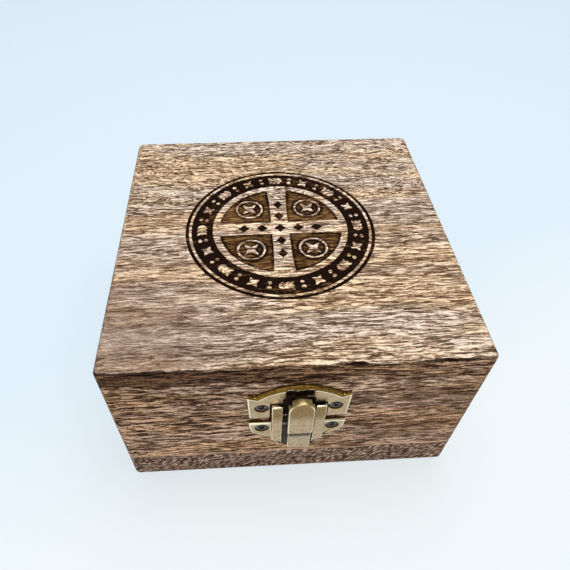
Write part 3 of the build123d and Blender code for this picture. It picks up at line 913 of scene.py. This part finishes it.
def carved_panel(carving):
    """The whole lid panel as one closed bmesh, engraved on top."""
    top, low = LID_HIGH.z, LID_LOW.z
    half_x, half_front, half_rear = LID_HIGH.x, -LID_LOW.y, REAR_HIGH.y
    centre = np.array(carving.centre)
    around, arc = 576, 8
    first_ring, ring_step, flat_rim, clear = 0.5 * MM, 0.27 * MM, 0.4 * MM, 0.6 * MM
    angles = np.linspace(0.0, 2.0 * math.pi, around, endpoint=False)
    field, slope = carving.field_radius, carving.wall_width
    inner, outer = carving.band_inner, carving.band_outer
    radii = np.concatenate([
        np.arange(first_ring, field - flat_rim, ring_step),
        np.linspace(field - slope, inner + slope, 9),
        np.linspace(inner + 2.0 * slope, outer - 2.0 * slope, 24),
        np.linspace(outer - slope, carving.line_radius + clear, 12),
    ])
    bm = bmesh.new()

    def carved_ring(radius):
        px, py = radius * np.cos(angles), radius * np.sin(angles)
        return ring_of(bm, zip(centre[0] + px, centre[1] + py, top - carving_depth(px, py, carving)))

    def outline(inset, z):
        """Rounded rectangle at an inset from the panel's sides."""
        radius = max(CORNER_RADIUS - inset, 0.05 * MM)
        points = []
        for quarter, (sx, sy) in enumerate(((1, 1), (-1, 1), (-1, -1), (1, -1))):
            cx = sx * (half_x - inset - radius)
            cy = (half_rear if sy > 0 else half_front) * sy - sy * (inset + radius)
            for part in range(arc + 1):
                a = math.pi / 2 * (quarter + part / arc)
                points.append((cx + radius * math.cos(a), cy + radius * math.sin(a), z))
        return points

    # the engraved roundel, ring by ring from its middle
    rings = [carved_ring(radius) for radius in radii]
    for first, second in zip(rings, rings[1:]):
        bridge(bm, first, second)
    middle_depth = float(carving_depth(np.zeros(1), np.zeros(1), carving)[0])
    fan(bm, bm.verts.new((centre[0], centre[1], top - middle_depth)), rings[0])

    # the flat top round it
    last = ring_of(bm, outline(TOP_ROUND + 0.05 * MM, top))
    edges = []
    for loop in (rings[-1], last):
        for i, vertex in enumerate(loop):
            other = loop[(i + 1) % len(loop)]
            edges.append(bm.edges.get((vertex, other)) or bm.edges.new((vertex, other)))
    bmesh.ops.triangle_fill(bm, use_beauty=True, use_dissolve=False, edges=edges, normal=(0, 0, 1))

    # the rounded edge, the sides, the lower arris and the underside
    turns = [math.pi / 2 * part / arc for part in range(arc + 1)]
    rounding = [(TOP_ROUND * (1.0 - math.sin(a)), top - TOP_ROUND * (1.0 - math.cos(a))) for a in turns]
    for inset, z in (*rounding, (0.0, low + ARRIS), (ARRIS, low)):
        ring = ring_of(bm, outline(inset, z))
        bridge(bm, last, ring)
        last = ring
    bm.faces.new(last)
    return bm


def cross_screw(bm, centre, outward, turn, radius, depth, tail, material=0):
    """A domed head with a cross recess that is turned a little, its rim in the plane of centre.

    The tail is a row of radii and heights, from the rim inwards.
    """
    outward, up = Vector(outward), Vector((math.sin(turn), 0.0, math.cos(turn)))
    side = up.cross(outward)
    around = 48
    # shares of the radius: rise of the dome, half a bar's width and softness of its sides, a bar's reach
    dome, half_bar, soft_in, soft_out, bar_reach = 0.2, 0.16, 0.05, 0.03, 0.68
    radii = np.concatenate([np.linspace(0.06, 0.72, 12), np.linspace(0.78, 1.0, 5)]) * radius
    angles = [2.0 * math.pi * i / around for i in range(around)]

    def at(r, a, h):
        return Vector(centre) + side * (r * math.cos(a)) + up * (r * math.sin(a)) + outward * h

    def height(r, a):
        """Height of the dome, less the recess."""
        into_bar = half_bar * radius - min(abs(r * math.cos(a)), abs(r * math.sin(a)))
        along_bar = 1.0 - r / (bar_reach * radius)
        sides = float(step(into_bar, -soft_out * radius, soft_in * radius))
        return dome * radius * (1.0 - (r / radius) ** 2) - depth * sides * float(step(along_bar, 0.0, 0.25))

    rings = [ring_of(bm, [at(r, a, height(r, a)) for a in angles]) for r in radii]
    rings += [ring_of(bm, [at(r, a, h) for a in angles]) for r, h in tail]
    faces = [bm.faces.new(rings[-1])]
    for first, second in zip(rings, rings[1:]):
        faces += bridge(bm, first, second)
    faces += fan(bm, bm.verts.new(at(0.0, 0.0, dome * radius - depth)), rings[0])
    for face in faces:
        face.material_index = material


def golden_arch(bm):
    """Turns the bright rim along the strike plate's arch golden brown where it looks up, as painted shade.
    """
    bm.normal_update()
    for face in bm.faces:
        looks_up = face.normal.y < -0.2 and face.normal.z > 0.2
        on_arch = face.calc_center_median().z > STRIKE_HIGH.z - 6.5 * MM
        if face.material_index == RUBBED and looks_up and on_arch:
            face.material_index = GOLDEN_TOP_SHADE


# Operators


class PRAYERBOX_OT_lid_boards(Operator):
    """Engrave the lid's two boards and finish them"""

    bl_idname = "prayerbox.lid_boards"
    bl_label = "Lid Boards"

    def execute(self, context):
        wood, carving = context.scene.box_wood, context.scene.box_carving
        for place, side, seed, ripple in (("front", 1.0, 31.0, 0.0), ("rear", -1.0, 173.0, wood.ripple)):
            name = f"lid_{place}_board_carved"
            bm = carved_panel(carving)
            bmesh.ops.bisect_plane(
                bm, geom=bm.verts[:] + bm.edges[:] + bm.faces[:], dist=1e-7,
                plane_co=(0.0, LID_HIGH.y, 0.0), plane_no=(0.0, side, 0.0), clear_outer=True,
            )
            bmesh.ops.edgenet_fill(bm, edges=[e for e in bm.edges if e.is_boundary])
            if any(e.is_boundary for e in bm.edges):
                raise RuntimeError(f"{name} isn't closed along the seam")
            material = made(f"Lid board {place}", board_material, wood, seed, ripple)
            piece_from(name, bm, "lid", [f"lid_panel_{place}_board"], [material])
        return {"FINISHED"}


class PRAYERBOX_OT_walls(Operator):
    """Finish the walls of the lid and the base, and the floor board"""

    bl_idname = "prayerbox.walls"
    bl_label = "Walls"

    def execute(self, context):
        wood = context.scene.box_wood
        for node, seed, looks in (
            # behind paints the wood seen through the latch's window and over its housing near black, as
            # shade
            ("lid_front_wall", 410.0, {"behind": True, "left_level": 0.80}),
            ("lid_back_wall", 530.0, {}),
            ("base_front_wall", 670.0, {"behind": True, "wild_foot": True}),
            ("base_back_wall", 790.0, {}),
            ("lid_left_wall", 820.0, {"along_y": True}),
            ("lid_right_wall", 880.0, {"along_y": True}),
            ("base_left_wall", 940.0, {"along_y": True}),
            ("base_right_wall", 1000.0, {"along_y": True}),
        ):
            label = node.replace("_", " ").capitalize() + " wood"
            finish_node(node, made(label, wall_material, wood, seed, **looks))
        finish_node("base_bottom_panel", made("Floor board wood", wall_material, wood, 1260.0))
        return {"FINISHED"}


class PRAYERBOX_OT_latch_plates(Operator):
    """Round the edges of the two latch plates and give them antique brass"""

    bl_idname = "prayerbox.latch_plates"
    bl_label = "Latch Plates"

    def execute(self, context):
        metal = context.scene.box_metal

        def keeper(normal, middle):
            """Faces of the keeper inside the window, painted dark as the window's shade."""
            return abs(middle.x - LATCH_X) < 3.0 * MM and middle.z < WINDOW_TOP - MM

        def channel(normal, middle):
            """Floor and sides of the housing's channel behind the lever, painted dark as shade."""
            aside, deep = abs(middle.x - LATCH_X), middle.y - CATCH_LOW.y
            return aside < 5.2 * MM and deep > 0.4 * MM and abs(normal.z) < 0.5

        def housing_top(middle):
            """The housing's top is rubbed, and the wings' upper edges are golden brown with painted shade.
            """
            return RUBBED if middle.z > HOUSING_HIGH.z - MM else GOLDEN_TOP_SHADE

        strike = softened("strike_plate", metal.edge_round, holes="strike_plate_screws", shut_in=keeper)
        golden_arch(strike)
        brass = brass_set(metal, "plate")
        piece_from("strike_plate_brass", strike, "lid", ["strike_plate"], brass)
        catch = softened(
            "catch_plate", metal.edge_round,
            upward=housing_top, holes="catch_plate_screws", shut_in=channel,
        )
        brass = brass_set(metal, "housing", gold_from=HOUSING_HIGH.z - 6.0 * MM)
        piece_from("catch_plate_brass", catch, "base", ["catch_plate"], brass)
        return {"FINISHED"}


class PRAYERBOX_OT_latch_lever(Operator):
    """Finish the sprung lever, its pin and its spring"""

    bl_idname = "prayerbox.latch_lever"
    bl_label = "Latch Lever"

    def execute(self, context):
        metal = context.scene.box_metal

        def rounder_tab(bm):
            """Opens out the rounding of the thumb tab's lower corners."""
            middle = (LEVER_LOW.x + LEVER_HIGH.x) / 2.0
            old, new, half = 0.9 * MM, 1.6 * MM, 3.2 * MM
            for vertex in bm.verts:
                if vertex.co.z < LEVER_LOW.z + old + 0.02 * MM and vertex.co.y < CATCH_LOW.y:
                    side = 1.0 if vertex.co.x > middle else -1.0
                    across = (vertex.co.x - middle - side * (half - old)) * new / old
                    vertex.co.x = middle + side * (half - new) + across
                    vertex.co.z = LEVER_LOW.z + new + (vertex.co.z - LEVER_LOW.z - old) * new / old

        lever = softened("latch_lever", metal.edge_round, upward=lambda middle: RIDGE, reshape=rounder_tab)
        # dark_below paints the shadow under the lever's step over its thumb tab
        brass = brass_set(metal, "lever", gold_from=LEVER_HIGH.z - 7.0 * MM, dark_below=TAB_TOP)
        piece_from("latch_lever_brass", lever, "latch_lever", ["latch_lever"], brass)
        steel = made("Spring steel", steel_material, metal.spring_steel, age=0.2, rough=0.3)
        finish_node("latch_lever_pin", steel)
        finish_node("latch_spring", steel)
        return {"FINISHED"}


class PRAYERBOX_OT_latch_screws(Operator):
    """Put cross-recess screws into the latch plates"""

    bl_idname = "prayerbox.latch_screws"
    bl_label = "Latch Screws"

    def execute(self, context):
        metal = context.scene.box_metal
        shank, rim, recess = 0.8 * MM, 0.2 * MM, 0.6 * MM
        for node, body, turns in (
            ("strike_plate_screws", "lid", (0.35, 1.15)),
            ("catch_plate_screws", "base", (0.8, 0.2)),
        ):
            low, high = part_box(node)
            centres, radius = screw_centres(node)
            label = node.replace("_", " ").capitalize() + " steel"
            shade_from = centres[0][1] + 0.4 * radius
            steel = made(
                label, steel_material, metal.screw_dark, age=0.5, rough=0.34, dark_above=shade_from,
            )
            tip = high.y - low.y - rim
            tail = ((shank, shank - radius), (shank, 1.5 * shank - tip), (0.25 * shank, -tip))
            bm = bmesh.new()
            for (x, height), turn in zip(centres, turns):
                cross_screw(bm, (x, low.y + rim, height), (0.0, -1.0, 0.0), turn, radius, recess, tail)
            piece_from(node + "_cross", bm, body, [node], [steel], smooth=50.0)
        return {"FINISHED"}


class PRAYERBOX_OT_hinges(Operator):
    """Finish the two butt hinges and give them cross-recess screws"""

    bl_idname = "prayerbox.hinges"
    bl_label = "Hinges"

    def execute(self, context):
        metal = context.scene.box_metal
        steel = made("Spring steel", steel_material, metal.spring_steel, age=0.2, rough=0.3)
        heads = made("Hinge screw steel", steel_material, metal.screw_dark, age=0.5, rough=0.34)
        finishes = [*brass_set(metal, "hinge"), heads]
        # screw heads: radius, spacing, distance from the parting line, how far they stand out, recess
        radius, spacing, reach, proud, recess = 1.28 * MM, 9.0 * MM, 5.4 * MM, 1.1 * MM, 0.25 * MM
        tail = ((radius, -0.35 * MM),)
        for side in ("left", "right"):
            for part, height in (("lid", PARTING + reach), ("base", PARTING - reach)):
                node = f"{side}_hinge_{part}_leaf"
                low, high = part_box(node)
                leaf_mesh = softened(node, 0.1 * MM, upward=lambda middle: FLAT)
                for across, turn in ((-0.5, 0.4), (0.5, 1.0)):
                    place = ((low.x + high.x) / 2.0 + across * spacing, low.y + proud, height)
                    cross_screw(
                        leaf_mesh, place, (0.0, 1.0, 0.0), turn, radius, recess, tail,
                        material=len(finishes) - 1,
                    )
                piece_from(f"{node}_brass", leaf_mesh, part, [node], finishes)
            finish_node(f"{side}_hinge_pin", steel)
        return {"FINISHED"}


class PRAYERBOX_OT_stage(Operator):
    """Set up the floor, the lamps, the surroundings and the camera"""

    bl_idname = "prayerbox.stage"
    bl_label = "Stage"

    def execute(self, context):
        stage = context.scene.box_stage
        context.scene.view_settings.view_transform = "Standard"
        lay_floor(context.scene, stage)
        paint_surroundings(context.scene, stage)
        for name, place, size, power in (
            ("key", (0.08, 0.08, 0.75), 0.55, stage.key_power),
            ("fill", (-0.20, -0.60, 0.45), 0.5, stage.fill_power),
        ):
            hang_lamp(context.scene, name, place, size, power)
        place_camera(context.scene, stage)
        return {"FINISHED"}


# Stage


def lay_floor(scene, stage):
    """A wide pale floor that partly glows where it is seen, and keeps the box's shadow."""
    reach, ground_tint, glow_share = 3.0, (0.76, 0.84, 0.95, 1.0), 0.65
    bm = bmesh.new()
    corners = ((-reach, -reach, 0), (reach, -reach, 0), (reach, reach, 0), (-reach, reach, 0))
    bm.faces.new(ring_of(bm, corners))
    mesh = bpy.data.meshes.new("floor")
    bm.to_mesh(mesh)
    bm.free()
    floor = bpy.data.objects.new("floor", mesh)
    scene.collection.objects.link(floor)
    material, graph, shader, place = new_material("Pale ground")
    x, y, _ = graph.split(place)
    nearness = graph.spread(graph.scaled(x, 0.35, graph.times(y, -1.0)), -0.03, 0.065)
    shader.inputs["Base Color"].default_value = ground_tint
    shader.inputs["Roughness"].default_value = 0.9
    glow = graph.add("ShaderNodeEmission")
    graph.join(graph.mix(nearness, stage.far_ground, stage.near_ground), glow.inputs["Color"])
    paths = graph.add("ShaderNodeLightPath").outputs
    seen = graph.most(paths["Is Camera Ray"], paths["Is Glossy Ray"], paths["Is Transmission Ray"])
    mixer = graph.add("ShaderNodeMixShader")
    outputs = graph.fill(mixer, graph.times(seen, glow_share), shader.outputs[0], glow.outputs[0])
    graph.join(outputs[0], material.node_tree.nodes["Material Output"].inputs["Surface"])
    mesh.materials.append(material)


def paint_surroundings(scene, stage):
    """Plain surroundings, lighter overhead. The camera sees the far ground in their place."""
    world = bpy.data.worlds.new("Soft room")
    scene.world = world
    world.use_nodes = True
    graph = Graph(world.node_tree)
    direction = graph.add("ShaderNodeTexCoord").outputs["Generated"]
    height = graph.split(graph.vector("NORMALIZE", direction))[2]
    sky = graph.mix(graph.spread(height, 0.1, 1.0), stage.low_sky, stage.high_sky)
    seen = graph.add("ShaderNodeLightPath").outputs["Is Camera Ray"]
    graph.join(graph.mix(seen, sky, stage.far_ground), world.node_tree.nodes["Background"].inputs["Color"])


def hang_lamp(scene, name, place, size, power):
    """A square lamp that looks at the box."""
    aim = Vector((0, 0, 0.03))
    lamp = bpy.data.lights.new(name, "AREA")
    lamp.energy = power
    lamp.size = size
    holder = bpy.data.objects.new(name, lamp)
    scene.collection.objects.link(holder)
    holder.location = place
    holder.rotation_euler = (aim - Vector(place)).to_track_quat("-Z", "Y").to_euler()


def place_camera(scene, stage):
    """The camera at its place, turned by its yaw, pitch and roll."""
    yaw, pitch, roll = stage.camera_turn
    ahead = Vector((math.sin(yaw) * math.cos(pitch), math.cos(yaw) * math.cos(pitch), -math.sin(pitch)))
    right = Vector((math.cos(yaw), -math.sin(yaw), 0.0))
    up = right.cross(ahead)
    across = math.cos(roll) * right + math.sin(roll) * up
    upward = -math.sin(roll) * right + math.cos(roll) * up
    lens = bpy.data.cameras.new("camera")
    lens.lens = stage.camera_lens
    lens.sensor_width = 36.0
    lens.clip_start = 0.005
    lens.shift_x, lens.shift_y = stage.camera_shift
    camera = bpy.data.objects.new("camera", lens)
    scene.collection.objects.link(camera)
    turned = Matrix((across, upward, -ahead)).transposed().to_4x4()
    camera.matrix_world = Matrix.Translation(stage.camera_place) @ turned
    scene.camera = camera


# Registration


STEPS = (
    PRAYERBOX_OT_lid_boards,
    PRAYERBOX_OT_walls,
    PRAYERBOX_OT_latch_plates,
    PRAYERBOX_OT_latch_lever,
    PRAYERBOX_OT_latch_screws,
    PRAYERBOX_OT_hinges,
    PRAYERBOX_OT_stage,
)
SETTINGS = {
    "box_wood": WoodSettings,
    "box_carving": CarvingSettings,
    "box_metal": MetalSettings,
    "box_stage": StageSettings,
}


class PRAYERBOX_PT_pieces(Panel):
    """Lists the pieces of the prayer box"""

    bl_idname = "PRAYERBOX_PT_pieces"
    bl_label = "Prayer Box"
    bl_space_type = "VIEW_3D"
    bl_region_type = "UI"
    bl_category = "Prayer Box"

    def draw(self, context):
        for name in SETTINGS:
            settings, box = getattr(context.scene, name), self.layout.box()
            for setting in settings.__annotations__:
                box.prop(settings, setting)
        for operator in STEPS:
            self.layout.operator(operator.bl_idname)


def register():
    for name, settings in SETTINGS.items():
        bpy.utils.register_class(settings)
        setattr(bpy.types.Scene, name, PointerProperty(type=settings))
    for operator in (*STEPS, PRAYERBOX_PT_pieces):
        bpy.utils.register_class(operator)


def unregister():
    for operator in reversed((*STEPS, PRAYERBOX_PT_pieces)):
        bpy.utils.unregister_class(operator)
    for name, settings in reversed(SETTINGS.items()):
        delattr(bpy.types.Scene, name)
        bpy.utils.unregister_class(settings)


def main():
    register()
    grain_group()
    scorch_group()
    patina_group()
    bpy.ops.prayerbox.lid_boards()
    bpy.ops.prayerbox.walls()
    bpy.ops.prayerbox.latch_plates()
    bpy.ops.prayerbox.latch_lever()
    bpy.ops.prayerbox.latch_screws()
    bpy.ops.prayerbox.hinges()
    bpy.ops.prayerbox.stage()


if __name__ == "__main__":
    main()
